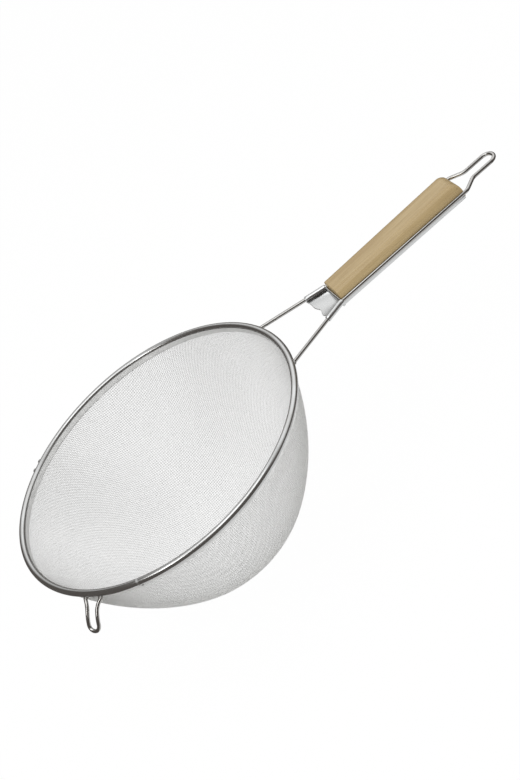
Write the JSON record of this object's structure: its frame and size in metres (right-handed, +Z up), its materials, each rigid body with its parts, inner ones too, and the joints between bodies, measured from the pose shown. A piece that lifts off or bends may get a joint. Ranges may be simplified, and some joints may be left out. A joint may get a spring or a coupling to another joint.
{
  "type": "bowl strainer",
  "caption": "Round double mesh bowl strainer with a rolled steel rim, a wire handle frame with a wood grip and hanging loop, and two rest hooks.",
  "frame": {"origin": "centre of the bowl's mouth, at the middle of the rolled rim", "axes": "+X from the bowl along the handle to the hanging loop, +Z up out of the mouth, +Y to the right of someone who holds the handle"},
  "size_m": [0.49, 0.266, 0.1384],
  "materials": {
    "rim_steel": "rolled strip, bright",
    "wire_steel": "drawn wire, bright",
    "mesh_steel": "woven wire, bright",
    "tray_steel": "pressed sheet, polished",
    "grip_wood": "turned and sanded, bare"
  },
  "bodies": {
    "root": {"rim_band": "rim_steel", "rim_wire": "wire_steel", "fine_mesh": "mesh_steel", "support_warp": "mesh_steel", "support_weft": "mesh_steel", "handle_wire": "wire_steel", "handle_tray": "tray_steel", "wood_grip": "grip_wood", "rest_hook_left": "wire_steel", "rest_hook_right": "wire_steel"}
  },
  "joints": []
}
